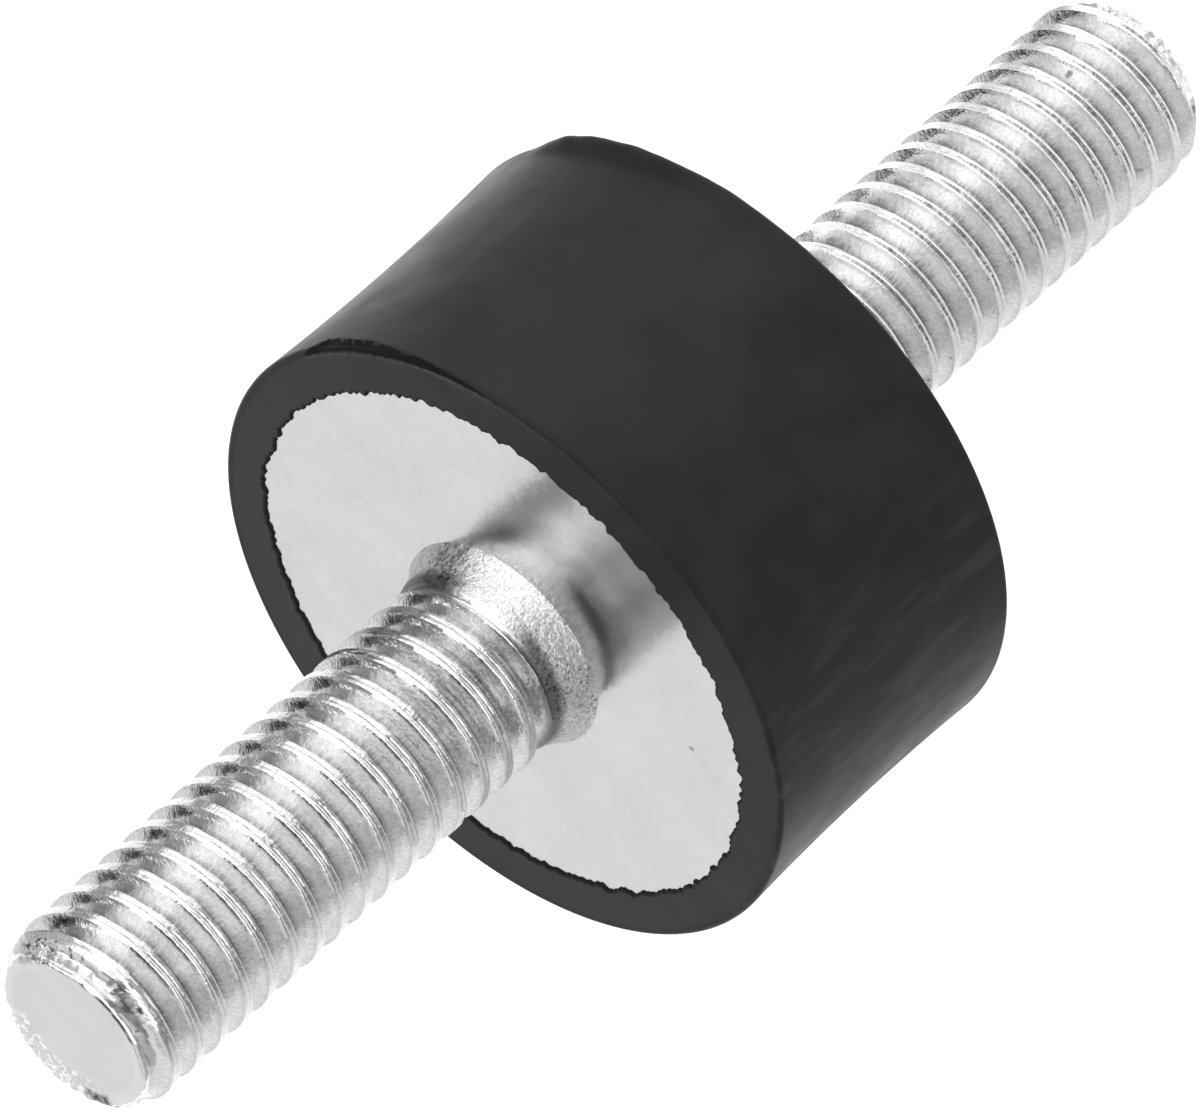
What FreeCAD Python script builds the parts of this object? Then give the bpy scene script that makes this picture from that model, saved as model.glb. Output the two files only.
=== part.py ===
import FreeCAD, Part
import math
import os
import Sketcher

# A rubber-to-metal vibration mount: a short rubber cylinder with a steel plate bonded in each end
# and a male threaded stud standing out of each plate. All sizes are in millimetres.
# The origin is the middle of the rubber, +Z runs along the axis towards the upper stud.
SIZES = {
    "rubber_diameter": 20.0,
    "rubber_height": 10.0,
    "waist_depth": 0.13,
    "rim_radius": 0.15,
    # Rubber covers each plate's rim and folds over its face as a thin skin, open in the middle.
    "side_cover": 1.0,
    "skin_width": 0.5,
    "skin_depth": 0.08,
    "plate_thickness": 1.5,
    "plate_edge": 0.2,
    # The stud's reach runs from the rubber's end face to the tip. Its thread is M6 and is modelled
    # at the measured diameter over the crests. The collar flares from a neck below the thread to the
    # foot, where it meets the plate.
    "stud_reach": 18.0,
    "crest_diameter": 5.9,
    "collar_foot_diameter": 6.8,
    "collar_top_diameter": 5.7,
    "collar_height": 1.2,
    "collar_step": 0.12,
    "head_diameter": 9.5,
    "head_thickness": 1.0,
    "tip_flat_diameter": 4.4,
    "tip_edge_diameter": 5.08,
    "tip_edge_height": 0.1,
    "tip_height": 0.75,
    # Plates and heads are vulcanised into the rubber and each stud is pressed through its plate,
    # so both fits close fully.
    "bond_clearance": 0.0,
    "press_clearance": 0.0,
}

# Levels along the axis for the upper end. The lower end is the same, turned over.
PLATE_FACE = "(Sizes.rubber_height / 2 - Sizes.skin_depth)"
PLATE_BACK = f"({PLATE_FACE} - Sizes.plate_thickness)"
HEAD_BACK = f"({PLATE_BACK} - Sizes.head_thickness)"
COLLAR_TOP = f"({PLATE_FACE} + Sizes.collar_height)"
THREAD_START = f"({COLLAR_TOP} + Sizes.collar_step)"
TIP = "(Sizes.rubber_height / 2 + Sizes.stud_reach)"
THREAD_END = f"({TIP} - Sizes.tip_height)"
TIP_EDGE = f"({TIP} - Sizes.tip_edge_height)"

# Radii of the plate and of the opening in the rubber over it.
PLATE_RADIUS = "(Sizes.rubber_diameter / 2 - Sizes.side_cover)"
OPENING_RADIUS = f"({PLATE_RADIUS} - Sizes.skin_width)"

# The rim's rounding never takes more than half of the rubber ring's width.
RIM = "min(Sizes.rim_radius; (Sizes.side_cover + Sizes.skin_width) / 2)"

doc = FreeCAD.newDocument("vibration_mount")


def fill_sheet(values):
    """Writes each size into the sheet, one alias to a row."""
    sheet = doc.addObject("Spreadsheet::Sheet", "Sizes")
    for row, (name, value) in enumerate(values.items(), start=1):
        sheet.set(f"A{row}", name.replace("_", " "))
        sheet.set(f"B{row}", str(value))
        sheet.setAlias(f"B{row}", name)
    doc.recompute()


def value(text):
    """The number that an expression on the sheet comes to."""
    return float(doc.Sizes.evalExpression(text))


def half(name):
    """A radius from the sheet's diameter of that name."""
    return f"(Sizes.{name} / 2)"


def plane_of(body, role):
    """One of the body's own origin planes."""
    return next(item for item in body.Origin.OriginFeatures if item.Role == role)


def new_sketch(body, name, role, lift=None):
    """A sketch on an origin plane of its body, lifted along the plane's normal if asked."""
    sketch = body.newObject("Sketcher::SketchObject", name)
    sketch.AttachmentSupport = (plane_of(body, role), [""])
    sketch.MapMode = "FlatFace"
    if lift:
        sketch.setExpression("AttachmentOffset.Base.z", lift)
    return sketch


def tie(sketch, kind, geometry, end, text):
    """Holds one coordinate of a point at a value from the sheet, or on the axis if it is 0."""
    if text == "0":
        axis = -2 if kind == "DistanceX" else -1
        sketch.addConstraint(Sketcher.Constraint("PointOnObject", geometry, end, axis))
        return
    if text.startswith("-"):
        text = text[1:]
        points = (geometry, end, -1, 1)
    else:
        points = (-1, 1, geometry, end)
    index = sketch.addConstraint(Sketcher.Constraint(kind, *points, value(text)))
    sketch.setExpression(f"Constraints[{index}]", text)


def draw_outline(sketch, corners):
    """A closed outline of straight lines, each corner given as radius and level."""
    spots = [FreeCAD.Vector(value(across), value(up), 0) for across, up in corners]
    count = len(spots)
    for i in range(count):
        sketch.addGeometry(Part.LineSegment(spots[i], spots[(i + 1) % count]), False)
    for i in range(count):
        sketch.addConstraint(Sketcher.Constraint("Coincident", i, 2, (i + 1) % count, 1))
    for i, (across, up) in enumerate(corners):
        tie(sketch, "DistanceX", i, 1, across)
        tie(sketch, "DistanceY", i, 1, up)


def draw_circle(sketch, diameter):
    """A circle round the sketch's origin."""
    size = value(diameter)
    sketch.addGeometry(Part.Circle(FreeCAD.Vector(), FreeCAD.Vector(0, 0, 1), size / 2), False)
    sketch.addConstraint(Sketcher.Constraint("Coincident", 0, 3, -1, 1))
    index = sketch.addConstraint(Sketcher.Constraint("Diameter", 0, size))
    sketch.setExpression(f"Constraints[{index}]", diameter)


def turn(body, kind, name, sketch):
    """Turns the sketch's outline fully round the axis."""
    feature = body.newObject(kind, name)
    feature.Profile = sketch
    feature.ReferenceAxis = (sketch, ["V_Axis"])
    feature.Angle = 360.0
    sketch.Visibility = False
    doc.recompute()
    return feature


def rings_at(feature, radius, level):
    """Names of the circular edges with that radius at that level."""
    names = []
    for index, edge in enumerate(feature.Shape.Edges, start=1):
        if not isinstance(edge.Curve, Part.Circle):
            continue
        fits = abs(edge.Curve.Radius - radius) < 1e-6
        if fits and abs(edge.Curve.Center.z - level) < 1e-6:
            names.append(f"Edge{index}")
    return names


def draw_rubber_side(sketch):
    """Half of the rubber's section: flat ends, rounded rims and a side that curves in to the waist."""
    edge, level = half("rubber_diameter"), half("rubber_height")
    inner = f"({edge} - {RIM})"
    shoulder = f"({level} - {RIM})"
    bend = f"({shoulder}^2 + Sizes.waist_depth^2) / (2 * Sizes.waist_depth)"
    r, h, x, y = (value(text) for text in (edge, level, inner, shoulder))
    normal = FreeCAD.Vector(0, 0, 1)
    low_rim = Part.Circle(FreeCAD.Vector(x, -y, 0), normal, r - x)
    high_rim = Part.Circle(FreeCAD.Vector(x, y, 0), normal, r - x)
    waist = FreeCAD.Vector(value(f"{edge} - Sizes.waist_depth"), 0, 0)
    outline = [
        Part.LineSegment(FreeCAD.Vector(0, -h, 0), FreeCAD.Vector(x, -h, 0)),
        Part.ArcOfCircle(low_rim, 1.5 * math.pi, 2 * math.pi),
        Part.Arc(FreeCAD.Vector(r, y, 0), waist, FreeCAD.Vector(r, -y, 0)),
        Part.ArcOfCircle(high_rim, 0, 0.5 * math.pi),
        Part.LineSegment(FreeCAD.Vector(x, h, 0), FreeCAD.Vector(0, h, 0)),
        Part.LineSegment(FreeCAD.Vector(0, h, 0), FreeCAD.Vector(0, -h, 0)),
    ]
    for piece in outline:
        sketch.addGeometry(piece, False)
    for joined in ((0, 2, 1, 1), (1, 2, 2, 2), (2, 1, 3, 1), (3, 2, 4, 1), (4, 2, 5, 1), (5, 2, 0, 1)):
        sketch.addConstraint(Sketcher.Constraint("Coincident", *joined))
    # Each rim needs its centre, its end on the flat and the level of its end on the side.
    points = (
        (0, 1, "0", f"-{level}"),
        (0, 2, inner, f"-{level}"),
        (1, 3, inner, f"-{shoulder}"),
        (4, 2, "0", level),
        (4, 1, inner, level),
        (3, 3, inner, shoulder),
    )
    for line, end, across, up in points:
        tie(sketch, "DistanceX", line, end, across)
        tie(sketch, "DistanceY", line, end, up)
    tie(sketch, "DistanceY", 1, 2, f"-{shoulder}")
    tie(sketch, "DistanceY", 3, 1, shoulder)
    index = sketch.addConstraint(Sketcher.Constraint("Radius", 2, value(bend)))
    sketch.setExpression(f"Constraints[{index}]", bend)


def make_rubber():
    """The moulded cylinder with its waist, its rim and a pocket for the metal in each end."""
    body = doc.addObject("PartDesign::Body", "RubberBody")
    body.Label = "rubber_body"
    side = new_sketch(body, "RubberSide", "XZ_Plane")
    draw_rubber_side(side)
    turn(body, "PartDesign::Revolution", "RubberCylinder", side)

    # The pocket matches the plate and the stud's head behind it.
    edge = "Sizes.plate_edge"
    gap = "Sizes.bond_clearance"
    plate = f"({PLATE_RADIUS} + {gap})"
    head = f"({half('head_diameter')} + {gap})"
    pocket = new_sketch(body, "MetalPocketOutline", "XZ_Plane")
    draw_outline(pocket, [
        ("0", half("rubber_height")),
        ("0", f"({HEAD_BACK} - {gap})"),
        (head, f"({HEAD_BACK} - {gap})"),
        (head, f"({PLATE_BACK} - {gap})"),
        (f"({plate} - {edge})", f"({PLATE_BACK} - {gap})"),
        (plate, f"({PLATE_BACK} - {gap} + {edge})"),
        (plate, PLATE_FACE),
        (OPENING_RADIUS, PLATE_FACE),
        (OPENING_RADIUS, half("rubber_height")),
    ])
    upper = turn(body, "PartDesign::Groove", "UpperMetalPocket", pocket)
    lower = body.newObject("PartDesign::Mirrored", "LowerMetalPocket")
    lower.Originals = [upper]
    lower.MirrorPlane = (plane_of(body, "XY_Plane"), [""])
    body.Tip = lower
    doc.recompute()
    return body


def make_plate(name, label, tilt):
    """A stamped steel disc with a hole for the stud and its back edge broken."""
    body = doc.addObject("PartDesign::Body", name)
    body.Label = label
    disc = new_sketch(body, f"{name}Disc", "XY_Plane", PLATE_BACK)
    draw_circle(disc, f"2 * {PLATE_RADIUS}")
    pad = body.newObject("PartDesign::Pad", f"{name}Blank")
    pad.Profile = disc
    pad.setExpression("Length", "Sizes.plate_thickness")
    disc.Visibility = False
    doc.recompute()

    hole = new_sketch(body, f"{name}Hole", "XY_Plane", PLATE_FACE)
    draw_circle(hole, "Sizes.collar_foot_diameter + 2 * Sizes.press_clearance")
    cut = body.newObject("PartDesign::Pocket", f"{name}Bore")
    cut.Profile = hole
    cut.Type = "ThroughAll"
    hole.Visibility = False
    doc.recompute()

    edge = body.newObject("PartDesign::Chamfer", f"{name}Edge")
    edge.Base = (cut, rings_at(cut, value(PLATE_RADIUS), value(PLATE_BACK)))
    edge.setExpression("Size", "Sizes.plate_edge")
    body.Placement = FreeCAD.Placement(FreeCAD.Vector(), FreeCAD.Rotation(FreeCAD.Vector(1, 0, 0), tilt))
    doc.recompute()
    return body


def make_stud(name, label, tilt):
    """A turned stud: head behind the plate, shank and collar through it, thread and chamfered tip."""
    body = doc.addObject("PartDesign::Body", name)
    body.Label = label
    outline = new_sketch(body, f"{name}Outline", "XZ_Plane")
    draw_outline(outline, [
        ("0", HEAD_BACK),
        (half("head_diameter"), HEAD_BACK),
        (half("head_diameter"), PLATE_BACK),
        (half("collar_foot_diameter"), PLATE_BACK),
        (half("collar_foot_diameter"), PLATE_FACE),
        (half("collar_top_diameter"), COLLAR_TOP),
        (half("crest_diameter"), THREAD_START),
        (half("crest_diameter"), THREAD_END),
        (half("tip_edge_diameter"), TIP_EDGE),
        (half("tip_flat_diameter"), TIP),
        ("0", TIP),
    ])
    turn(body, "PartDesign::Revolution", f"{name}Blank", outline)
    body.Placement = FreeCAD.Placement(FreeCAD.Vector(), FreeCAD.Rotation(FreeCAD.Vector(1, 0, 0), tilt))
    doc.recompute()
    return body


fill_sheet(SIZES)
pieces = [
    make_rubber(),
    make_plate("UpperPlate", "upper_plate", 0),
    make_stud("UpperStud", "upper_stud", 0),
    make_plate("LowerPlate", "lower_plate", 180),
    make_stud("LowerStud", "lower_stud", 180),
]

doc.recompute()
for item in doc.Objects:
    if "Invalid" in item.State or "Error" in item.State:
        raise RuntimeError(f"{item.Name} failed to recompute: {item.State}")
for piece in pieces:
    if piece.Shape.isNull() or not piece.Shape.isValid():
        raise RuntimeError(f"{piece.Label} has no valid shape")
    print(piece.Label, round(piece.Shape.Volume, 3), piece.Shape.BoundBox)

os.makedirs("parts", exist_ok=True)
for piece in pieces:
    piece.Shape.exportStep(f"parts/{piece.Label}.step")
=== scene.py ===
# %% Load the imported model
import math

import bmesh
import bpy
from mathutils import Matrix, Vector, noise


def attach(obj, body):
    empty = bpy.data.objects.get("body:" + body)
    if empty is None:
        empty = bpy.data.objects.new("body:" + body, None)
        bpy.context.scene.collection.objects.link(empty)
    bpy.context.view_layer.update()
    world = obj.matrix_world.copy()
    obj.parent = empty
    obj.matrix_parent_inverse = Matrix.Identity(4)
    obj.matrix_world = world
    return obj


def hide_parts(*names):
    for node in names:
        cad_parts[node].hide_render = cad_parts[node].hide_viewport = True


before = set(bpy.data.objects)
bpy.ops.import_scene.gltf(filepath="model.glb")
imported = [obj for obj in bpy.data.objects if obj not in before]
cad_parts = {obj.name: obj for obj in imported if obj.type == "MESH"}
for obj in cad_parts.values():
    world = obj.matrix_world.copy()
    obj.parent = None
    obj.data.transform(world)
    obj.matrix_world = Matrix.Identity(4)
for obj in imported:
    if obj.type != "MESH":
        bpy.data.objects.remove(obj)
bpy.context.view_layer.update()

# %% [markdown]
# A bobbin mount is a short rubber cylinder with a steel plate bonded into each end, and a
# threaded stud standing out of each plate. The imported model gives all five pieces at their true
# size. Two of its shapes are too plain for a picture: the studs have no thread, and the rubber
# has none of the ragged edge that moulding leaves. Those get new meshes here, and the plates
# keep theirs.
#
# Everything is in metres, so a named millimetre keeps the numbers readable.

# %% Sizes
MM = 0.001
PITCH = 1.0 * MM

# levels above the middle of the mount
FACE = 5.0 * MM                     # the rubber's end face
PLATE_FACE = FACE - 0.08 * MM       # under the rubber's thin skin
PLATE_BACK = PLATE_FACE - 1.5 * MM
HEAD_BACK = PLATE_BACK - 1.0 * MM   # the stud's head lies behind the plate
TIP = FACE + 18.0 * MM

# radii, in millimetres
SHANK, HEAD, PLATE, SIDE = 3.40, 4.75, 9.0, 10.0
print("stud tip at", round(TIP / MM, 3), "mm")


def polar(co):
    """Radius and angle of a point round the mount's axis."""
    return math.hypot(co.x, co.y), math.atan2(co.y, co.x)


def put_round(vert, radius, angle):
    """Moves a vertex to a new radius and keeps its level."""
    vert.co.x, vert.co.y = radius * math.cos(angle), radius * math.sin(angle)


def smooth(low, high, value):
    """0 below low, 1 above high, and a smooth step between."""
    t = min(max((value - low) / (high - low), 0.0), 1.0)
    return t * t * (3.0 - 2.0 * t)


def bump_at(angle, middle, width):
    """1 at one angle in degrees, falling smoothly to 0 that many degrees away."""
    away = abs((math.degrees(angle) - middle + 180.0) % 360.0 - 180.0)
    return 1.0 - smooth(0.0, width, away)


def along(points, value):
    """The value on a line through (position, value) points, straight between them."""
    if value <= points[0][0]:
        return points[0][1]
    for (x0, y0), (x1, y1) in zip(points, points[1:]):
        if value <= x1:
            return y0 + (y1 - y0) * (value - x0) / (x1 - x0)
    return points[-1][1]


def sweep_round(bm, steps, sectors, climb=0.0):
    """Sweeps the mesh once round the axis: one sector by extrusion, the rest as turned copies."""
    bmesh.ops.spin(bm, geom=bm.verts[:] + bm.edges[:], axis=(0, 0, 1), dvec=(0, 0, climb / steps),
                   angle=math.tau / sectors, steps=steps // sectors)
    bmesh.ops.spin(bm, geom=bm.verts[:] + bm.edges[:] + bm.faces[:], axis=(0, 0, 1),
                   dvec=(0, 0, climb / sectors), angle=math.tau * (sectors - 1) / sectors,
                   steps=sectors - 1, use_duplicate=True)
    bmesh.ops.remove_doubles(bm, verts=bm.verts, dist=1e-6)


def finish_piece(bm, name, node, sharp=40.0):
    """Turns a bmesh into a piece that stands for a CAD node and rides on the one body."""
    bmesh.ops.recalc_face_normals(bm, faces=bm.faces)
    mesh = bpy.data.meshes.new(name)
    bm.to_mesh(mesh)
    bm.free()
    for polygon in mesh.polygons:
        polygon.use_smooth = True
    mesh.set_sharp_from_angle(angle=math.radians(sharp))
    piece = bpy.data.objects.new(name, mesh)
    bpy.context.collection.objects.link(piece)
    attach(piece, "root")
    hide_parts(node)
    triangles = sum(len(p.vertices) - 2 for p in mesh.polygons)
    print(name, "has", triangles, "triangles")
    return piece


# %% [markdown]
# The thread is rolled into the stud, so it is one winding groove. It could be a stack of rings,
# but a ring thread never climbs, and the eye sees that. Here one tooth is drawn as a few
# vertices, the spin operator copies it up the axis with no turn at all, and a second spin takes
# the whole comb round once while it climbs by one pitch. Its last comb then lands on its first,
# one tooth higher, and merging the doubles closes the helix.
#
# Rolling pushes the metal up from both sides of the groove. The two folds meet on the crest and
# leave a fine seam between two ridges, which the tooth's middle vertices draw.

# %% Thread
THREAD_STEPS = 180       # in one turn
TOOTH = (  # level in pitches from the crest and radius in millimetres
    (-0.50, 2.330), (-0.44, 2.380), (-0.34, 2.580), (-0.25, 2.780), (-0.19, 2.905),
    (-0.160, 2.942), (-0.140, 2.950), (-0.118, 2.940), (-0.085, 2.915), (-0.055, 2.890),
    (-0.030, 2.885), (-0.012, 2.915), (0.012, 2.946), (0.035, 2.950), (0.065, 2.940),
    (0.095, 2.920), (0.128, 2.884), (0.168, 2.828), (0.220, 2.745), (0.280, 2.645),
    (0.340, 2.540), (0.395, 2.440), (0.440, 2.368), (0.478, 2.338), (0.50, 2.330),
)


def wind_thread(bm, low, crest, teeth):
    """Repeats the tooth up the axis and sweeps the comb once round along the right-hand helix."""
    verts = [bm.verts.new((r * MM, 0.0, low + (crest + z) * PITCH)) for z, r in TOOTH]
    tooth = verts + [bm.edges.new(pair) for pair in zip(verts, verts[1:])]
    bmesh.ops.spin(bm, geom=tooth, axis=(0, 0, 1), dvec=(0, 0, PITCH), angle=0.0,
                   steps=teeth, use_duplicate=True)
    bmesh.ops.remove_doubles(bm, verts=bm.verts, dist=1e-7)
    sweep_round(bm, THREAD_STEPS, sectors=12, climb=PITCH)


# %% [markdown]
# A real stud starts as a plain turned blank, and the rollers press the thread into it. The mesh
# copies that order: wherever the helix stands outside the blank it is pulled in to the blank,
# which gives the flared collar and the chamfered tip, and wherever it lies deeper than the
# rollers reached it is pushed out, which gives the run-out at the collar's neck.
#
# The blank was sheared off a bar, so its end leans to one side and has a burr on the other. The
# crest's seam stays open on the worn side only. Shank, head and end face are grown on by
# extruding the loops that two flat cuts leave.

# %% Stud blank
BLANK = [  # height above the rubber's face and radius, in millimetres
    (-0.20, 3.420), (-0.08, 3.400), (-0.03, 3.345), (0.25, 3.205), (0.55, 3.070),
    (0.85, 2.945), (1.05, 2.860), (1.15, 2.790), (1.22, 2.730), (1.28, 2.735),
    (1.36, 2.860), (1.44, 2.935), (1.55, 2.950), (17.25, 2.950), (17.36, 2.915),
    (17.80, 2.660), (18.10, 2.500),
]
GROOVE = [  # the same for the deepest place that the rollers reached
    (-0.20, 3.600), (0.90, 2.990), (1.15, 2.790), (1.28, 2.700), (1.50, 2.580),
    (1.85, 2.330),
]
TIP_RINGS = [  # radius and depth below the tip, from the chamfer in to the middle
    (2.575, 0.140), (2.545, 0.085), (2.490, 0.035), (2.410, 0.008), (2.320, 0.0),
    (2.230, 0.010), (2.160, 0.030), (2.080, 0.045), (1.900, 0.050), (1.720, 0.050),
    (1.560, 0.050), (1.500, 0.050), (0.350, 0.050),
]
TIP_CUT = 0.20 * MM      # the helix ends this far below the tip, and the rings go on from there
FOOT_CUT = 0.06 * MM     # and this far below the plate's face, where the shank goes on


def ripple(angle, seed, turns):
    """Seeded noise round the axis, from -1 to 1, with that many waves or so in a turn."""
    k = turns / math.tau
    return 2.0 * noise.noise(Vector((math.cos(angle) * k, math.sin(angle) * k, seed)))


def lean(angle, burr):
    """How far the end face is pushed over, away from the side that was cut first."""
    return 0.33 * bump_at(angle, burr + 180.0, 100.0) - 0.06 * bump_at(angle, burr, 80.0)


def shape_stud(bm, seed, burr, worn):
    """Fits the helix between the rollers' depth and the turned blank, with a little wear."""
    for vert in bm.verts:
        radius, angle = polar(vert.co)
        if radius > 2.87 * MM:      # away from its open side the crest's seam has closed
            radius += (2.947 * MM - radius) * (1.0 - bump_at(angle, worn, 68.0))
        height = (vert.co.z - FACE) / MM
        climb = 0.17 * math.cos(angle) * smooth(0.4, 1.1, height)   # the run-out lies aslant
        climb *= 1.0 - smooth(2.0, 3.0, height)
        deep = along(GROOVE, height - climb)
        blank = along(BLANK, height - climb) - lean(angle, burr) * smooth(16.95, 17.90, height)
        spot = Vector((math.cos(angle) * 7.0, math.sin(angle) * 7.0, height * 2.3 + seed))
        wear = 0.005 * noise.noise(spot)
        if radius > 2.85 * MM and 1.8 < height < 17.3:
            wear += 0.020 * min(noise.noise(spot * 3.1), 0.0)
        wanted = min(max(radius / MM, deep), blank) + wear
        put_round(vert, wanted * MM, angle)


def cut_level(bm, level, way):
    """Cuts the mesh flat at a level, drops what lies beyond and gives back the open edges."""
    bmesh.ops.bisect_plane(bm, geom=bm.verts[:] + bm.edges[:] + bm.faces[:], dist=1e-7,
                           plane_co=(0, 0, level), plane_no=(0, 0, way), clear_outer=True)
    return [edge for edge in bm.edges if edge.is_boundary
            and all(abs(vert.co.z - level) < 1e-6 for vert in edge.verts)]


def grow_loop(bm, loop, radius, level):
    """Extrudes a round loop and moves the copy to a new radius and level."""
    result = bmesh.ops.extrude_edge_only(bm, edges=loop)
    for vert in [g for g in result["geom"] if isinstance(g, bmesh.types.BMVert)]:
        angle = polar(vert.co)[1]
        put_round(vert, radius, angle)
        vert.co.z = level
    return [g for g in result["geom"] if isinstance(g, bmesh.types.BMEdge) and g.is_boundary]


def batter_tip(bm, seed, burr):
    """Makes the tip's rim uneven, as shearing leaves it, with one thicker burr."""
    for vert in bm.verts:
        radius, angle = polar(vert.co)
        depth = (TIP - vert.co.z) / MM
        if depth > 0.5 or radius < 1.6 * MM:
            continue
        side = bump_at(angle, burr, 75.0)
        inside = 1.0 - smooth(2.62, 2.8, radius / MM)       # the chamfer stays as it is
        outer = smooth(1.9, 2.3, radius / MM) * inside
        torn = side * smooth(1.6, 1.9, radius / MM) * inside
        out = 0.20 * side - lean(angle, burr) + 0.03 * ripple(angle, seed, 9)
        out += 0.035 * ripple(angle, seed, 55)
        drop = 0.012 + 0.02 * ripple(angle, seed + 5, 14)
        chips = 0.05 + 0.10 * noise.noise(Vector((vert.co.x, vert.co.y, seed)) * (5.0 / MM))
        put_round(vert, radius + outer * out * MM, angle)
        vert.co.z -= (outer * max(0.0, drop) + torn * max(0.0, chips)) * MM


def make_stud(name, node, crest, seed, burr, worn, turned_over):
    """One stud: thread, collar and chamfer from the helix, shank, head and tip face grown on."""
    bm = bmesh.new()
    wind_thread(bm, FACE - 2.0 * MM, crest, teeth=21)       # from under the plate to past the tip
    shape_stud(bm, seed, burr, worn)
    loop = cut_level(bm, PLATE_FACE - FOOT_CUT, -1)
    for radius, level in ((SHANK, PLATE_BACK), (HEAD, PLATE_BACK), (HEAD, HEAD_BACK)):
        loop = grow_loop(bm, loop, radius * MM, level)
    bmesh.ops.edgeloop_fill(bm, edges=loop)
    loop = cut_level(bm, TIP - TIP_CUT, 1)
    for radius, depth in TIP_RINGS:
        loop = grow_loop(bm, loop, radius * MM, TIP - depth * MM)
    bmesh.ops.edgeloop_fill(bm, edges=loop)
    batter_tip(bm, seed, burr)
    if turned_over:
        bmesh.ops.rotate(bm, verts=bm.verts, matrix=Matrix.Rotation(math.pi, 3, "X"))
    return finish_piece(bm, name, node, sharp=38.0)


UPPER_CREST = 0.575      # where the crest starts on the +X side, in pitches
LOWER_CREST = 0.18
upper_thread = make_stud("upper_stud_threaded", "upper_stud", UPPER_CREST, seed=3.1,
                         burr=105.0, worn=-98.0, turned_over=False)
lower_thread = make_stud("lower_stud_threaded", "lower_stud", LOWER_CREST, seed=8.7,
                         burr=75.0, worn=90.0, turned_over=True)

# %% [markdown]
# The rubber is moulded round the plates. Its outline is one chain of vertices spun round the
# axis, from the pocket behind the plate, over the skin and the rounded rim, down the waisted
# side. The other end is the mirror image. Then each end is worn on its own. The film of rubber
# that crept across the steel is torn and leaves ragged teeth. A knife has trimmed the upper rim
# on one side and left a fine ridge of flash beside the cut. The lower rim still has a thin
# flash that stands out.

# %% Rubber
RUBBER_STEPS = 1000      # in one turn
LIP = 8.50               # radius of the skin's edge, in millimetres
RIDGE = 9.80             # radius of the fine ridge inside the rim
ROUND = 0.14             # radius of the rim's rounding
WAIST = 0.13             # how far the side draws in at the middle


def half_outline():
    """The rubber's section above its middle, as (radius, level) pairs in millimetres."""
    face, plate, back, head = (level / MM for level in (FACE, PLATE_FACE, PLATE_BACK, HEAD_BACK))
    points = [(0.0, head), (2.4, head), (HEAD, head), (HEAD, back), (8.8, back),
              (PLATE, back + 0.2), (PLATE, plate), (8.72, plate), (LIP, plate),
              (LIP, plate + 0.04), (LIP + 0.015, face - 0.015), (8.545, face), (8.62, face),
              (8.80, face), (9.05, face), (9.35, face), (9.60, face), (9.76, face),
              (RIDGE, face), (9.84, face)]
    for k in range(5):
        angle = math.radians(88.0 - 22.0 * k)
        points.append((SIDE - ROUND + ROUND * math.cos(angle),
                       face - ROUND + ROUND * math.sin(angle)))
    for level in (4.80, 4.72, 4.64, 4.56, 4.46, 4.3, 4.0, 3.4, 2.7, 2.0, 1.3, 0.65, 0.0):
        points.append((SIDE - WAIST * (1.0 - (level / (face - ROUND)) ** 2), level))
    return points


def lip_step(angle, seed, upper):
    """How far the skin's edge stands out from its true circle at an angle, in millimetres."""
    drift = 0.10 * math.cos(2.0 * angle) - 0.06 if upper else 0.08 * math.cos(angle)
    wander = 0.05 * ripple(angle, seed, 9)
    scallops = 0.07 * abs(ripple(angle, seed, 50)) + 0.09 * abs(ripple(angle, seed + 3, 130))
    cusps = -0.08 * abs(ripple(angle, seed + 9, 95))
    fringe = 0.045 * ripple(angle, seed + 6, 330)
    return drift + wander + scallops + cusps + fringe - 0.02


def trim_rim(vert, radius, angle):
    """Cuts the knife's wedge into the upper rim and raises the flash ridge beside it."""
    level = vert.co.z / MM
    degrees = math.degrees(angle)
    cut = smooth(15.0, 21.0, -degrees) * (1.0 - smooth(21.0, 74.0, -degrees)) ** 2
    low = FACE / MM - cut * (0.42 + 0.04 * ripple(angle, 4.0, 60))
    if radius > 9.84 and level > low:
        radius -= 0.10 * cut * smooth(0.0, 0.10, level - low)
    if abs(radius - RIDGE) < 0.01:
        level += 0.030 * bump_at(angle, -30.0, 75.0) * (0.75 + 0.5 * ripple(angle, 6.0, 140))
    vert.co.z = level * MM
    return radius


def flare_rim(vert, radius, angle):
    """Draws the lower rim out into the thin flash that the mould's joint left on one side."""
    level = -vert.co.z / MM
    degrees = -math.degrees(angle)
    reach = smooth(15.0, 27.0, degrees) * (1.0 - smooth(30.0, 88.0, degrees))
    ragged = 1.0 + 0.16 * ripple(angle, 5.0, 26) + 0.10 * ripple(angle, 8.0, 90)
    out = 0.27 * reach * ragged * smooth(4.35, 4.80, level) * smooth(9.6, 9.86, radius)
    return radius + out


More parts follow.
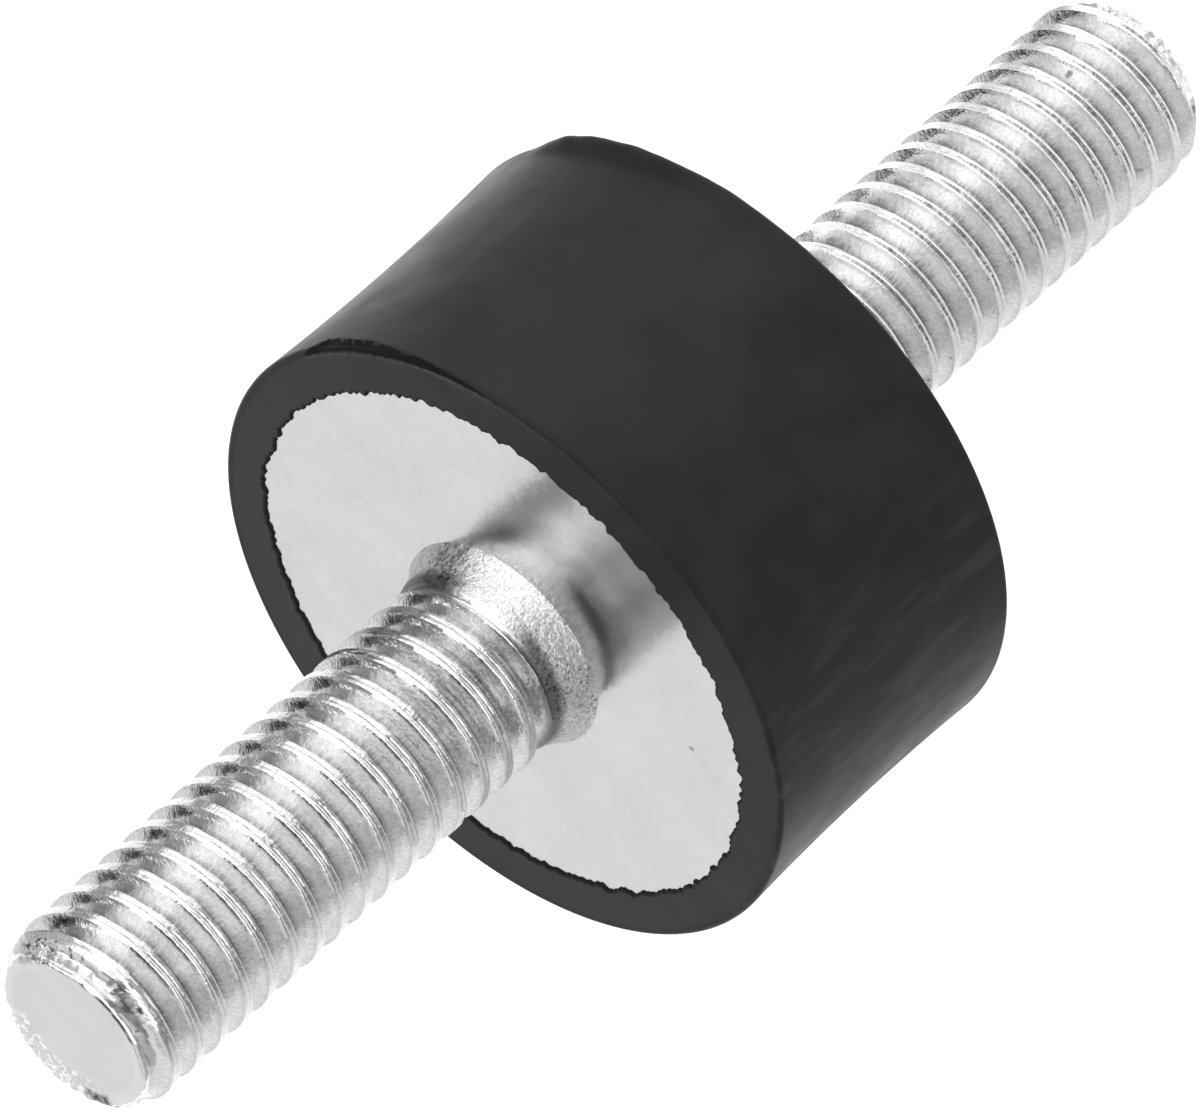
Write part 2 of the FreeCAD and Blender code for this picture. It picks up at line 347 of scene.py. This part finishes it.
def wear_rubber(bm):
    """Tears the lips, trims the rim and keeps each vertex's nearness to a torn edge, for painted
    shade.
    """
    torn = bm.verts.layers.float.new("torn_edge_shade")
    for vert in bm.verts:
        radius, angle = polar(vert.co)
        radius /= MM
        upper = vert.co.z > 0
        if abs(vert.co.z) > PLATE_FACE - 0.01 * MM and LIP - 0.1 < radius < LIP + 0.8:
            vert[torn] = 1.0 - smooth(LIP + 0.01, LIP + 0.10, radius)
            hold = 1.0 - smooth(LIP + 0.10, LIP + 0.8, radius)
            radius += hold * lip_step(angle, 2.0 if upper else 7.0, upper)
        elif upper and radius > 9.7:
            radius = trim_rim(vert, radius, angle)
        elif radius > 9.6:
            radius = flare_rim(vert, radius, angle)
        put_round(vert, radius * MM, angle)


bm = bmesh.new()
chain = [bm.verts.new((r * MM, 0.0, z * MM)) for r, z in half_outline()]
for pair in zip(chain, chain[1:]):
    bm.edges.new(pair)
bmesh.ops.mirror(bm, geom=bm.verts[:] + bm.edges[:], axis="Z", merge_dist=1e-7)
sweep_round(bm, RUBBER_STEPS, sectors=20)
wear_rubber(bm)
rubber = finish_piece(bm, "rubber_moulded", "rubber_body", sharp=50.0)

# %% [markdown]
# Steel, plate and rubber share a few effects: a soft mottle, small dark specks and a place
# measured round the axis. Each effect is one shader node group with named inputs and outputs,
# built once and placed in every material with its own values. Lengths in the groups are
# millimetres, because noise at the size of a grain of sand would need scales in the tens of
# thousands in metres.
#
# A short helper places a node, sets what is a number and links what is a socket.

# %% Shader helpers


def place(tree, kind, settings=None, **inputs):
    """Adds a node, sets its properties and fills its inputs by name or number."""
    node = tree.nodes.new("ShaderNode" + kind)
    for key, value in (settings or {}).items():
        setattr(node, key, value)
    for key, value in inputs.items():
        if key.startswith("in_"):
            socket = node.inputs[int(key[3:])]
        else:
            socket = node.inputs[key.replace("_", " ")]
        if isinstance(value, bpy.types.NodeSocket):
            tree.links.new(value, socket)
        else:
            socket.default_value = value
    return node


def calc(tree, operation, *values):
    """A math node's result."""
    inputs = {f"in_{i}": value for i, value in enumerate(values)}
    return place(tree, "Math", {"operation": operation}, **inputs).outputs[0]


def step(tree, value, low, high, bottom=0.0, top=1.0):
    """A smooth step of a value from low to high."""
    node = place(tree, "MapRange", {"interpolation_type": "SMOOTHSTEP"}, Value=value,
                 From_Min=low, From_Max=high, To_Min=bottom, To_Max=top)
    return node.outputs["Result"]


def around(tree, angle, middle, inner, outer):
    """1 near one angle in degrees round the axis and 0 away from it, smooth between."""
    away = calc(tree, "WRAP", calc(tree, "SUBTRACT", angle, middle), 180.0, -180.0)
    return step(tree, calc(tree, "ABSOLUTE", away), outer, inner)


def new_group(name, inputs, outputs):
    """An empty shader group with its sockets, as (group, input sockets, output node)."""
    group = bpy.data.node_groups.new(name, "ShaderNodeTree")
    for label, kind, value in inputs:
        socket = group.interface.new_socket(label, in_out="INPUT", socket_type="NodeSocket" + kind)
        socket.default_value = value
    for label, kind in outputs:
        group.interface.new_socket(label, in_out="OUTPUT", socket_type="NodeSocket" + kind)
    return group, group.nodes.new("NodeGroupInput").outputs, group.nodes.new("NodeGroupOutput")


def use_group(tree, group, **inputs):
    """Places a group in a material and gives back its outputs."""
    node = tree.nodes.new("ShaderNodeGroup")
    node.node_tree = group
    for key, value in inputs.items():
        socket = node.inputs[key.replace("_", " ")]
        if isinstance(value, bpy.types.NodeSocket):
            tree.links.new(value, socket)
        else:
            socket.default_value = value
    return node.outputs


# %% [markdown]
# The mottle is smooth noise between a low and a high threshold. Close thresholds give hard
# patches, wide ones give soft clouds, and a stretch draws them out along one direction.

# %% Effect: mottle
mottle, given, out = new_group(
    "mottle",
    [("Per millimetre", "Float", 1.0), ("Stretch", "Vector", (1.0, 1.0, 1.0)),
     ("Detail", "Float", 3.0), ("Low", "Float", 0.35), ("High", "Float", 0.65)],
    [("Value", "Float")])
coords = place(mottle, "TexCoord").outputs["Object"]
coords = place(mottle, "VectorMath", {"operation": "SCALE"}, Vector=coords, Scale=1.0 / MM)
coords = place(mottle, "VectorMath", {"operation": "MULTIPLY"},
               in_0=coords.outputs[0], in_1=given["Stretch"])
cloud = place(mottle, "TexNoise", Vector=coords.outputs[0], Scale=given["Per millimetre"],
              Detail=given["Detail"], Roughness=0.55)
cloud = step(mottle, cloud.outputs["Fac"], given["Low"], given["High"])
mottle.links.new(cloud, out.inputs["Value"])
print("group", mottle.name)

# %% [markdown]
# Specks are the middles of noise cells. A cell's own random colour is its lot: only the share
# of the cells with a low lot gets a speck.

# %% Effect: dark specks
specks, given, out = new_group(
    "specks",
    [("Per millimetre", "Float", 1.0), ("Share", "Float", 0.1), ("Size", "Float", 0.2)],
    [("Mask", "Float")])
coords = place(specks, "TexCoord").outputs["Object"]
coords = place(specks, "VectorMath", {"operation": "SCALE"}, Vector=coords, Scale=1.0 / MM)
cells = place(specks, "TexVoronoi", Vector=coords.outputs[0], Scale=given["Per millimetre"])
lot = place(specks, "SeparateColor", Color=cells.outputs["Color"]).outputs[0]
chosen = calc(specks, "LESS_THAN", lot, given["Share"])
near = calc(specks, "LESS_THAN", cells.outputs["Distance"], given["Size"])
specks.links.new(calc(specks, "MULTIPLY", chosen, near), out.inputs["Mask"])
print("group", specks.name)

# %% [markdown]
# The last effect tells a point's radius, height and angle, with lengths in millimetres. It also
# gives a vector that changes quickly round the axis and slowly along it, which combs noise into
# hairs.

# %% Effect: place round the axis
axis_place, given, out = new_group(
    "axis_place",
    [("Around", "Float", 10.0), ("Up", "Float", 0.2)],
    [("Radius", "Float"), ("Height", "Float"), ("Angle", "Float"), ("Along rays", "Vector")])
coords = place(axis_place, "TexCoord").outputs["Object"]
parts = place(axis_place, "SeparateXYZ", Vector=coords).outputs
x, y, z = (calc(axis_place, "DIVIDE", parts[i], MM) for i in range(3))
squares = calc(axis_place, "ADD", calc(axis_place, "MULTIPLY", x, x),
               calc(axis_place, "MULTIPLY", y, y))
radius = calc(axis_place, "SQRT", squares)
safe = calc(axis_place, "MAXIMUM", radius, 0.01)    # no division by zero on the axis
angle = calc(axis_place, "DEGREES", calc(axis_place, "ARCTAN2", y, x))
ray = place(axis_place, "CombineXYZ",
            X=calc(axis_place, "MULTIPLY", calc(axis_place, "DIVIDE", x, safe), given["Around"]),
            Y=calc(axis_place, "MULTIPLY", calc(axis_place, "DIVIDE", y, safe), given["Around"]),
            Z=calc(axis_place, "MULTIPLY", z, given["Up"]))
for label, value in (("Radius", radius), ("Height", z), ("Angle", angle),
                     ("Along rays", ray.outputs[0])):
    axis_place.links.new(value, out.inputs[label])
print("group", axis_place.name)

# %% [markdown]
# Zinc-plated steel is a bright metal whose colour barely changes. What the eye reads is the way
# its gloss breaks up: a fine orange peel in the plating, soft grey patches, tiny dark pits,
# painted shade in the thread's root, in the seam along its crest and in the collar's neck, a
# painted highlight on the tip's rim, flanks painted a little lighter as painted light, and a
# collar that the rollers never touched and that still has the sandy skin of the bar. The helix
# is found again in the shader: the level less the part of a pitch that the angle stands for is
# the same all along one crest.
#
# Masks come first, each 1 where its mark is. Then come the noises, and each of colour,
# roughness and relief is a product or a sum of masks and noises.

# %% Stud material


def new_material(name):
    """An empty node material with its Principled shader."""
    material = bpy.data.materials.new(name)
    material.use_nodes = True
    return material, material.node_tree, material.node_tree.nodes["Principled BSDF"]


def mix(tree, factor, low, high):
    """A number between low and high."""
    return place(tree, "Mix", {"data_type": "FLOAT"}, in_0=factor, in_2=low, in_3=high).outputs[0]


def grey(tree, value):
    """The same value in red, green and blue."""
    return place(tree, "CombineColor", Red=value, Green=value, Blue=value).outputs[0]


def times(tree, value, *factors):
    """A value multiplied by each factor in turn."""
    for factor in factors:
        value = calc(tree, "MULTIPLY", value, factor)
    return value


def total(tree, value, *more):
    """The sum of all the values."""
    for extra in more:
        value = calc(tree, "ADD", value, extra)
    return value


def stud_steel(name, way, start):
    """Plated steel for one stud; way is 1 for the upper one and -1 for the lower, turned over."""
    material, tree, shader = new_material(name)

    # where a point is: its phase is 0 on the crest and runs from -0.5 to 0.5 over one pitch,
    # and twenty whole pitches more keep every remainder positive
    spot = use_group(tree, axis_place, Around=30.0, Up=0.8)
    turns = calc(tree, "DIVIDE", spot["Angle"], 360.0)
    climb = calc(tree, "MULTIPLY", calc(tree, "SUBTRACT", spot["Height"], turns), way)
    phase = calc(tree, "FRACT", calc(tree, "ADD", climb, 20.5 - start))
    phase = calc(tree, "SUBTRACT", phase, 0.5)
    level = calc(tree, "MULTIPLY", spot["Height"], way)
    side = calc(tree, "MULTIPLY", spot["Angle"], way)

    # masks of the thread and of the collar below it, in millimetres and degrees
    face, tip = FACE / MM, TIP / MM
    end = step(tree, level, tip - 0.65, tip - 0.40)
    threaded = times(tree, step(tree, level, face + 1.30, face + 1.50),
                     calc(tree, "SUBTRACT", 1.0, end))
    collar = step(tree, level, face + 1.25, face + 1.05)
    crest = times(tree, step(tree, spot["Radius"], 2.86, 2.92), threaded)
    worn = around(tree, spot["Angle"], -98.0, 26.0, 42.0)
    # painted shade: the open seam along the crest is painted darker, on the worn side only
    seam = step(tree, calc(tree, "ABSOLUTE", calc(tree, "ADD", phase, 0.030)), 0.050, 0.020)
    seam = times(tree, seam, crest, worn)
    # painted shade: the thread's root is painted darker
    root = times(tree, step(tree, spot["Radius"], 2.60, 2.36), threaded)
    # painted light: the flanks are painted a little lighter so that the valleys look brighter
    flank = times(tree, step(tree, spot["Radius"], 2.88, 2.78), threaded)
    away_from_front = calc(tree, "SUBTRACT", 1.0, around(tree, spot["Angle"], -72.0, 10.0, 34.0))
    # painted shade: the collar's neck is painted darker on both sides of the front, where the
    # crest shades it
    neck_shade = times(tree, step(tree, level, face + 0.60, face + 0.95),
                 step(tree, level, face + 1.50, face + 1.25), away_from_front)
    stain = times(tree, collar, around(tree, side, -31.0, 5.0, 17.0))
    dull = times(tree, crest, around(tree, spot["Angle"], -165.0, 20.0, 45.0))

    # masks of the sheared end: its rim, which gets a painted highlight, and three marks that the
    # shears left on it
    rim = times(tree, end, step(tree, spot["Radius"], 2.10, 2.30))
    edge = step(tree, spot["Radius"], 2.15, 2.35)
    nick = times(tree, end, around(tree, side, -24.0, 8.0, 24.0), edge)
    scar = times(tree, end, around(tree, side, 139.0, 6.0, 15.0), edge)
    torn = times(tree, end, around(tree, side, 95.0, 34.0, 52.0),
                 step(tree, spot["Radius"], 1.80, 1.95))

    # noises
    patches = use_group(tree, mottle, Per_millimetre=0.9, Detail=3.0, Low=0.30, High=0.70)["Value"]
    peel = use_group(tree, mottle, Per_millimetre=5.5, Detail=2.0, Low=0.25, High=0.75)["Value"]
    sand = use_group(tree, mottle, Per_millimetre=13.0, Detail=1.0, Low=0.25, High=0.75)["Value"]
    grains = use_group(tree, specks, Per_millimetre=7.5, Share=0.45, Size=0.42)["Mask"]
    coarse = use_group(tree, mottle, Per_millimetre=1.6, Detail=2.0, Low=0.36, High=0.55)["Value"]
    grains = times(tree, grains, collar, away_from_front, coarse)
    chips = use_group(tree, mottle, Per_millimetre=6.0, Detail=3.0, Low=0.42, High=0.58)["Value"]
    pits = use_group(tree, specks, Per_millimetre=0.8, Share=0.05, Size=0.09)["Mask"]
    hairs = place(tree, "TexNoise", Vector=spot["Along rays"], Scale=1.0, Detail=2.0)
    hairs = step(tree, hairs.outputs["Fac"], 0.35, 0.65)

    # colour: a plain grey, and then what each mark makes of it
    # the flanks' factor of 1.06 is painted light
    light = times(tree, mix(tree, patches, 0.62, 0.70), mix(tree, peel, 0.92, 1.05),
                  mix(tree, sand, 0.90, 1.10), mix(tree, flank, 1.0, 1.06))
    light = mix(tree, end, light, mix(tree, patches, 0.645, 0.675))
    light = times(tree, light,
                  # painted shade in the thread's root
                  mix(tree, root, 1.0, mix(tree, hairs, 0.62, 0.86)),
                  # painted shade in the crest's seam
                  mix(tree, seam, 1.0, mix(tree, hairs, 0.30, 0.80)),
                  mix(tree, collar, 1.0, mix(tree, sand, 0.84, 1.10)),
                  mix(tree, grains, 1.0, 0.50),
                  # painted shade in the collar's neck
                  mix(tree, neck_shade, 1.0, 0.22),
                  mix(tree, stain, 1.0, mix(tree, chips, 0.42, 1.0)),
                  # painted highlight on the tip's rim
                  mix(tree, rim, 1.0, 1.08),
                  mix(tree, torn, 1.0, mix(tree, chips, 1.0, 1.45)),
                  mix(tree, nick, 1.0, mix(tree, chips, 0.60, 1.0)),
                  mix(tree, times(tree, scar, mix(tree, chips, 1.0, 0.6)), 1.0, 0.06),
                  mix(tree, times(tree, pits, threaded), 1.0, 0.25))
    tree.links.new(grey(tree, light), shader.inputs["Base Color"])
    shader.inputs["Metallic"].default_value = 1.0

    # roughness
    rough = total(tree, mix(tree, peel, 0.13, 0.19), times(tree, collar, 0.18),
                  times(tree, crest, -0.04), times(tree, dull, 0.22),
                  times(tree, patches, 0.04), times(tree, torn, 0.15))
    tree.links.new(rough, shader.inputs["Roughness"])

    # relief
    chipped = total(tree, times(tree, calc(tree, "ADD", torn, nick), 2.0), collar)
    relief = total(tree, times(tree, peel, mix(tree, end, 0.45, 0.10)),
                   times(tree, patches, 0.4),
                   times(tree, sand, threaded, 0.22),
                   times(tree, hairs, threaded, mix(tree, crest, 0.06, 0.35)),
                   times(tree, calc(tree, "SUBTRACT", sand, grains), collar, 0.8),
                   times(tree, chips, chipped))
    bump = place(tree, "Bump", Strength=1.0, Distance=0.008 * MM, Height=relief)
    tree.links.new(bump.outputs[0], shader.inputs["Normal"])
    return material


upper_steel = stud_steel("zinc_plated_upper_stud", 1.0, UPPER_CREST)
lower_steel = stud_steel("zinc_plated_lower_stud", -1.0, LOWER_CREST)
print("stud materials:", upper_steel.name, lower_steel.name)

# %% [markdown]
# The plates were plated flat, so they mirror the collar beside them quite sharply, and only
# broad patches and a faint peel disturb them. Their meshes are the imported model's own: a
# material in the slot is all that changes.

# %% Plate material
plate_steel, tree, shader = new_material("zinc_plated_plate")
clouds = use_group(tree, mottle, Per_millimetre=0.45, Detail=4.0, Low=0.30, High=0.70)["Value"]
peel = use_group(tree, mottle, Per_millimetre=4.0, Detail=3.0, Low=0.25, High=0.75)["Value"]
pits = use_group(tree, specks, Per_millimetre=0.7, Share=0.06, Size=0.07)["Mask"]
light = times(tree, mix(tree, clouds, 0.64, 0.69), mix(tree, peel, 0.97, 1.02),
              mix(tree, pits, 1.0, 0.6))
tree.links.new(grey(tree, light), shader.inputs["Base Color"])
shader.inputs["Metallic"].default_value = 1.0
tree.links.new(mix(tree, clouds, 0.15, 0.21), shader.inputs["Roughness"])
relief = total(tree, times(tree, peel, 0.25), clouds)
bump = place(tree, "Bump", Strength=1.0, Distance=0.005 * MM, Height=relief)
tree.links.new(bump.outputs[0], shader.inputs["Normal"])
print("plate material:", plate_steel.name)

# %% [markdown]
# Moulded rubber is nearly black and shows itself by a weak, broad sheen. Cloudy patches are a
# little duller where the mould was dry. The edge of the torn film round the plate and the knife's
# cut in the rim are painted darker, as painted shade. Dust and scuffs are a little paler, the
# fine ridge beside the cut gets a painted highlight, and the end faces are painted a little
# lighter towards one side, as painted light. The torn film's edge is known from the attribute
# that the mesh keeps, and the cut from its place round the axis.

# %% Rubber material
rubber_black, tree, shader = new_material("moulded_rubber")
spot = use_group(tree, axis_place)
clouds = use_group(tree, mottle, Per_millimetre=0.40, Detail=5.0, Low=0.30, High=0.70)["Value"]
grain = use_group(tree, mottle, Per_millimetre=2.4, Detail=4.0, Low=0.25, High=0.75)["Value"]
ragged = use_group(tree, mottle, Per_millimetre=4.5, Detail=4.0, Low=0.30, High=0.70)["Value"]
dust = use_group(tree, specks, Per_millimetre=1.1, Share=0.03, Size=0.06)["Mask"]
# painted shade along the torn film's edge round the plate, where the gap under the lip lies in
# shadow
torn = place(tree, "Attribute", {"attribute_name": "torn_edge_shade"}).outputs["Fac"]
# the knife's cut in the upper rim, whose face is painted darker as painted shade
tail = step(tree, spot["Angle"], -76.0, -21.0)
wedge = times(tree, step(tree, spot["Angle"], -15.0, -20.0), tail, tail)
low = calc(tree, "SUBTRACT", FACE / MM, times(tree, wedge, mix(tree, ragged, 0.28, 0.52)))
cut = step(tree, calc(tree, "SUBTRACT", spot["Height"], low), 0.0, 0.03)
cut = times(tree, cut, step(tree, spot["Radius"], RIDGE - 0.02, RIDGE + 0.04),
            step(tree, wedge, 0.03, 0.10))
# painted shade: the torn edge and the knife's cut are painted darker
dark = calc(tree, "MAXIMUM", torn, cut)
shade = times(tree, mix(tree, clouds, 0.006, 0.017), mix(tree, dark, 1.0, 0.3))
# painted highlight: the fine ridge under the knife's cut is painted lighter
edge = times(tree, step(tree, spot["Radius"], RIDGE - 0.06, RIDGE - 0.02),
             step(tree, spot["Radius"], RIDGE + 0.06, RIDGE + 0.02),
             step(tree, wedge, 0.01, 0.10), ragged)
scuffs = use_group(tree, mottle, Per_millimetre=1.5, Stretch=(1.0, 1.0, 0.22), Detail=2.0,
                   Low=0.48, High=0.68)["Value"]
scuffs = times(tree, scuffs, around(tree, spot["Angle"], -152.0, 14.0, 40.0),
               step(tree, spot["Radius"], RIDGE, RIDGE + 0.04))
# painted light: the end faces are painted a little lighter towards +Y
painted_side_light = times(tree, around(tree, spot["Angle"], 90.0, 40.0, 165.0),
              step(tree, spot["Radius"], RIDGE, RIDGE - 0.10))
for mark, strength in ((dust, 0.05), (edge, 0.05), (scuffs, 0.018), (painted_side_light, 0.012)):
    shade = calc(tree, "ADD", shade, times(tree, mark, strength))
tree.links.new(grey(tree, shade), shader.inputs["Base Color"])
rough = calc(tree, "ADD", mix(tree, clouds, 0.42, 0.52), times(tree, grain, 0.03))
tree.links.new(calc(tree, "ADD", rough, times(tree, dark, 0.4)), shader.inputs["Roughness"])
shader.inputs["Specular IOR Level"].default_value = 0.18
shader.inputs["Sheen Weight"].default_value = 0.04
shader.inputs["Sheen Roughness"].default_value = 0.3
swell = use_group(tree, mottle, Per_millimetre=0.45, Detail=1.0, Low=0.25, High=0.75)["Value"]
bump = place(tree, "Bump", Strength=1.0, Distance=0.02 * MM, Height=swell)
tree.links.new(bump.outputs[0], shader.inputs["Normal"])
print("rubber material:", rubber_black.name)


def dress(piece, material):
    """Gives a piece or a CAD node one material."""
    piece.data.materials.clear()
    piece.data.materials.append(material)


dress(upper_thread, upper_steel)
dress(lower_thread, lower_steel)
dress(rubber, rubber_black)
for node in ("upper_plate", "lower_plate"):
    dress(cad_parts[node], plate_steel)

# %% [markdown]
# The photograph is taken with a long lens from 31 degrees above the plates' plane, and the
# camera is rolled on its own axis so that the mount lies across the picture. Its lens, place
# and two turns come from a fit to the outlines of both rims, both tips and the thread's crests.

# %% Camera
camera_data = bpy.data.cameras.new("camera")
camera_data.sensor_fit = "HORIZONTAL"
camera_data.sensor_width = 36.0
camera_data.lens = 433.05           # millimetres, for the sensor above
camera_data.clip_start = 0.01
camera = bpy.data.objects.new("camera", camera_data)
tilt = Matrix.Rotation(math.radians(90.0 - 30.68), 4, "X")
roll = Matrix.Rotation(math.radians(-132.11), 4, "Z")
camera.matrix_world = Matrix.Translation((-0.00001, -0.34506, 0.20542)) @ (tilt @ roll)
bpy.context.collection.objects.link(camera)
bpy.context.scene.camera = camera
print("camera stands", round(camera.matrix_world.translation.length, 3), "m away")

# %% [markdown]
# Three soft boxes light the mount: one overhead, a long narrow strip above the camera, and a
# low one at the front. They keep to a plain level, at which a grey renders about as it is
# written, and the strip draws the thin bright lines along the thread's crests.

# %% Lamps


def toward(azimuth, elevation):
    """The direction at an angle round the axis from +X and an angle above the floor."""
    a, e = math.radians(azimuth), math.radians(elevation)
    return Vector((math.cos(a) * math.cos(e), math.sin(a) * math.cos(e), math.sin(e)))


def softbox(name, direction, width, height, watts):
    """A wide area lamp half a metre away that looks at the middle of the mount."""
    data = bpy.data.lights.new(name, "AREA")
    data.shape = "RECTANGLE"
    data.size = width
    data.size_y = height
    data.energy = watts
    lamp = bpy.data.objects.new(name, data)
    lamp.matrix_world = (Matrix.Translation(direction * 0.5)
                         @ direction.to_track_quat("Z", "Y").to_matrix().to_4x4())
    lamp.visible_camera = False
    bpy.context.collection.objects.link(lamp)
    return lamp


lamps = [
    softbox("overhead_box", toward(-8.0, 64.0), width=0.36, height=0.24, watts=0.55),
    softbox("strip_box", toward(-95.0, 52.0), width=1.00, height=0.15, watts=0.93),
    softbox("front_box", toward(-50.0, 20.0), width=0.66, height=0.25, watts=0.99),
]
print("lamps:", [lamp.name for lamp in lamps])

# %% [markdown]
# The mount floats on white in the photograph, and its metal mirrors a bright table with a few
# darker places. The floor therefore shows white to the camera by its own glow, and to glossy
# rays a glow that differs round the mount: a lobe is 1 in one direction from the middle and
# fades beside it. Some lobes count only within a ring on the floor, and right under the mount
# the glow is plain. A camera below the floor sees through it.

# %% Floor
bm = bmesh.new()
bmesh.ops.create_grid(bm, x_segments=1, y_segments=1, size=3.0,     # metres each way
                      matrix=Matrix.Translation((0.0, 0.0, -TIP)))
floor_mesh = bpy.data.meshes.new("floor")
bm.to_mesh(floor_mesh)
bm.free()
floor = bpy.data.objects.new("floor", floor_mesh)
bpy.context.collection.objects.link(floor)


def lobe(tree, direction, centre, inner, outer):
    """1 within an angle of a centre direction, 0 beyond a wider one, smooth between."""
    facing = place(tree, "VectorMath", {"operation": "DOT_PRODUCT"}, in_0=direction, in_1=centre)
    return step(tree, facing.outputs["Value"], math.cos(math.radians(outer)),
                math.cos(math.radians(inner)))


white_floor, tree, shader = new_material("white_floor")
shader.inputs["Base Color"].default_value = (0.35, 0.35, 0.35, 1.0)
shader.inputs["Roughness"].default_value = 0.9
shader.inputs["Specular IOR Level"].default_value = 0.0
shader.inputs["Emission Color"].default_value = (1.0, 1.0, 1.0, 1.0)
path = place(tree, "LightPath").outputs
coords = place(tree, "TexCoord").outputs["Object"]
flat = place(tree, "VectorMath", {"operation": "MULTIPLY"}, in_0=coords, in_1=(1.0, 1.0, 0.0))
flat = place(tree, "VectorMath", {"operation": "NORMALIZE"}, in_0=flat.outputs[0]).outputs[0]
reach = place(tree, "VectorMath", {"operation": "LENGTH"}, in_0=coords).outputs["Value"]
glow = mix(tree, step(tree, reach, 0.020, 0.036), 0.84, 0.50)
glow = mix(tree, lobe(tree, flat, toward(-172.0, 0.0), 16.0, 44.0), 1.0, glow)
ring = times(tree, step(tree, reach, 0.020, 0.028), step(tree, reach, 0.056, 0.046))
for azimuth, inner, outer, more, where in (
        (-42.0, 14.0, 30.0, 0.52, 1.0),     # the front of the rubber and of the thread
        (95.0, 20.0, 55.0, 0.20, 1.0),
        (-54.0, 6.0, 27.0, 0.40, ring),
        (-115.0, 10.0, 34.0, -0.20, ring),
        (66.0, 16.0, 50.0, 1.30, ring)):    # the gloss along the rubber's left side
    patch = lobe(tree, flat, toward(azimuth, 0.0), inner, outer)
    glow = calc(tree, "ADD", glow, times(tree, patch, more, where))
gap = times(tree, lobe(tree, flat, toward(6.0, 0.0), 9.0, 21.0),
            calc(tree, "SUBTRACT", 1.0, ring))
glow = times(tree, glow, mix(tree, gap, 1.0, 0.03))
glow = mix(tree, step(tree, reach, 0.003, 0.006), 0.6, glow)    # plain near the middle
glossy = times(tree, path["Is Glossy Ray"], glow)
seen = times(tree, path["Is Camera Ray"], 0.9)
tree.links.new(calc(tree, "ADD", seen, glossy), shader.inputs["Emission Strength"])
below = place(tree, "NewGeometry").outputs["Backfacing"]
tree.links.new(calc(tree, "SUBTRACT", 1.0, below), shader.inputs["Alpha"])
floor.data.materials.append(white_floor)

# %% [markdown]
# The world is the rest of the room: plain white wherever the camera looks straight at it, and
# for every other ray bright behind the mount, dimmer at both sides, with a few patches that
# stand for what the metal mirrors.

# %% World
world = bpy.data.worlds.new("studio")
bpy.context.scene.world = world
world.use_nodes = True
tree = world.node_tree
background = tree.nodes["Background"]
path = place(tree, "LightPath").outputs
direction = place(tree, "TexCoord").outputs["Generated"]
room = mix(tree, lobe(tree, direction, toward(98.0, 24.0), 38.0, 62.0), 0.58, 1.0)
for azimuth, elevation, inner, outer, strength in (
        (38.0, 45.0, 10.0, 20.0, 0.02),    # a dark gap between overhead box and backdrop
        (147.0, 52.0, 4.0, 13.0, 0.60),
        (176.0, 46.0, 10.0, 24.0, 1.50),
        (16.0, 7.0, 3.0, 10.0, 0.35),
        (-90.0, 87.0, 10.0, 30.0, 0.15),
        (-150.0, 10.0, 14.0, 36.0, 0.60),
        (-98.0, 34.0, 4.0, 9.0, 0.30),     # the camera itself
        (-130.0, 32.0, 8.0, 22.0, 1.60)):
    patch = lobe(tree, direction, toward(azimuth, elevation), inner, outer)
    room = times(tree, room, mix(tree, patch, 1.0, strength))
plain = calc(tree, "MAXIMUM", path["Is Camera Ray"], path["Is Transmission Ray"])
tree.links.new(calc(tree, "MAXIMUM", room, plain), background.inputs["Strength"])
background.inputs["Color"].default_value = (1.0, 1.0, 1.0, 1.0)

bpy.context.scene.view_settings.view_transform = "Standard"
